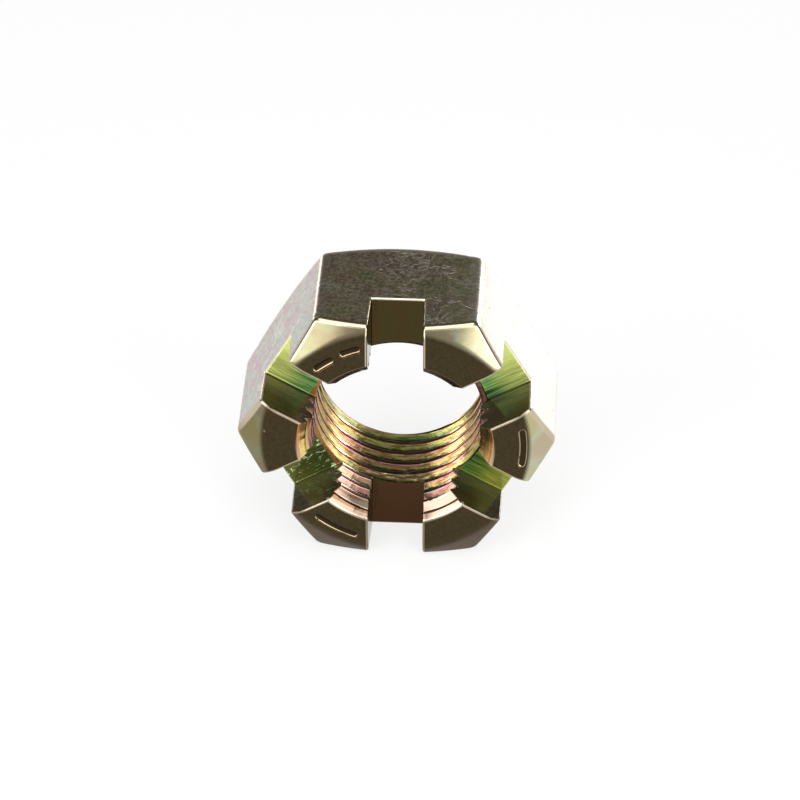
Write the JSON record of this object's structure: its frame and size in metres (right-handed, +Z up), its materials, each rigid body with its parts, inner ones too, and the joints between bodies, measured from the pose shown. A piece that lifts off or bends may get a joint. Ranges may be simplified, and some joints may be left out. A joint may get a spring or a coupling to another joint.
{
  "type": "castle nut",
  "caption": "Hexagon castle nut with a fine thread, slotted across the crown for a cotter pin, yellow zinc plated.",
  "frame": {"origin": "centre of the bearing face, on the thread axis", "axes": "the nut lies on one hexagon flat: +Y along the thread axis and out of the bearing face, -Y out of the slotted crown, +Z up out of the top flat, +X towards a corner of the hexagon"},
  "size_m": [0.0274, 0.013, 0.024],
  "materials": {
    "yellow_zinc": "carbon steel, yellow zinc plated, with a green and pink iridescent sheen"
  },
  "bodies": {
    "root": {"castle_nut": "yellow_zinc"}
  },
  "joints": []
}
